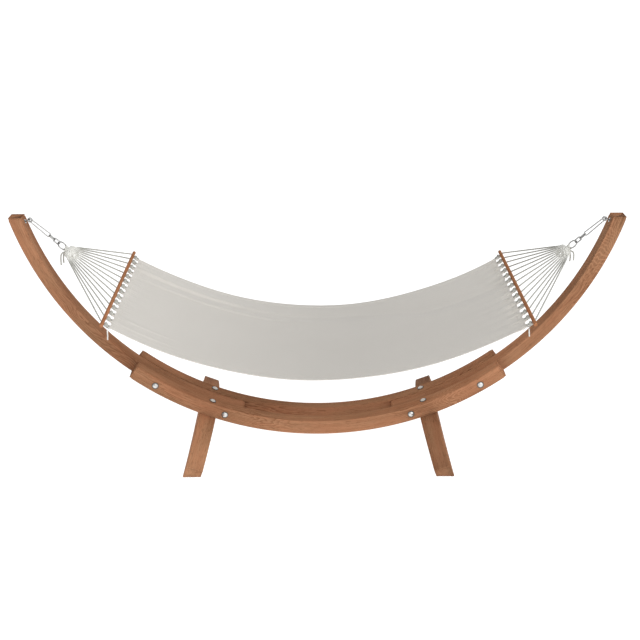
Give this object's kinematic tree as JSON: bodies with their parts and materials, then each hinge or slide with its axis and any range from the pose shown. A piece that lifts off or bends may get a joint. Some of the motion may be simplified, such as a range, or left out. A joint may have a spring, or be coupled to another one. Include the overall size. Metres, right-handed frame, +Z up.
{
  "type": "hammock with arc stand",
  "caption": "Spreader-bar hammock of plain cloth hung by fanned cords and snap hooks between the tips of a bolted, arc-shaped timber stand with two curved cross legs.",
  "frame": {"origin": "on the floor under the middle of the stand", "axes": "+X along the stand to its right-hand arm, -Y to the front where the bolt heads are, +Z up"},
  "size_m": [3.2802, 1.205, 1.2507],
  "materials": {
    "timber": "oiled reddish-brown laminated softwood, satin",
    "bar_timber": "varnished turned hardwood, satin",
    "plated_steel": "bright zinc plate",
    "dark_steel": "dark phosphated steel",
    "cord": "twisted off-white cord",
    "cloth": "plain-woven light warm grey cotton blend, matt"
  },
  "bodies": {
    "stand": {"base_rail_front": "timber", "base_rail_rear": "timber", "arm_left": "timber", "arm_right": "timber", "leg_left": "timber", "leg_right": "timber", "arm_bolts": "plated_steel", "arm_bolt_head_washers": "dark_steel", "arm_bolt_nut_washers": "plated_steel", "arm_bolt_nuts": "plated_steel", "leg_bolts": "plated_steel", "leg_bolt_head_washers": "dark_steel", "leg_bolt_nut_washers": "plated_steel", "leg_bolt_nuts": "plated_steel", "eye_bolt_left": "plated_steel", "eye_bolt_right": "plated_steel", "eye_bolt_washers": "plated_steel"},
    "hammock": {"snap_hook_left": "plated_steel", "snap_hook_right": "plated_steel", "gate_pins": "plated_steel", "chain_links_left": "plated_steel", "chain_links_right": "plated_steel", "gathering_ring_left": "plated_steel", "gathering_ring_right": "plated_steel", "cord_gather_left": "cord", "cord_gather_right": "cord", "knot_whipping_left": "cord", "knot_whipping_right": "cord", "suspension_cords_left": "cord", "suspension_cords_right": "cord", "spreader_bar_left": "bar_timber", "spreader_bar_right": "bar_timber", "lacing_loops_left": "cord", "lacing_loops_right": "cord", "eyelets_left": "plated_steel", "eyelets_right": "plated_steel", "bed_cloth": "cloth", "side_hem_front": "cloth", "side_hem_rear": "cloth", "end_hem_left": "cloth", "end_hem_right": "cloth", "knot_tails_left": "cord", "knot_tails_right": "cord", "corner_tail_left": "cord", "corner_tail_right": "cord"},
    "gate_left": {"hook_gate_left": "plated_steel"},
    "gate_right": {"hook_gate_right": "plated_steel"}
  },
  "joints": [
    {"name": "hammock_swing", "type": "hinge", "parent": "stand", "child": "hammock", "pos_m": [0, 0, 1.23054], "axis": [1, 0, 0], "range_deg": [-30, 30]},
    {"name": "gate_left", "type": "hinge", "parent": "hammock", "child": "gate_left", "pos_m": [-1.47805, 0, 1.16916], "axis": [0, 1, 0], "range_deg": [0, 7], "stiffness_Nm_per_rad": 0.05, "springref_deg": -5.73},
    {"name": "gate_right", "type": "hinge", "parent": "hammock", "child": "gate_right", "pos_m": [1.47805, 0, 1.16916], "axis": [0, -1, 0], "range_deg": [0, 7], "stiffness_Nm_per_rad": 0.05, "springref_deg": -5.73}
  ]
}
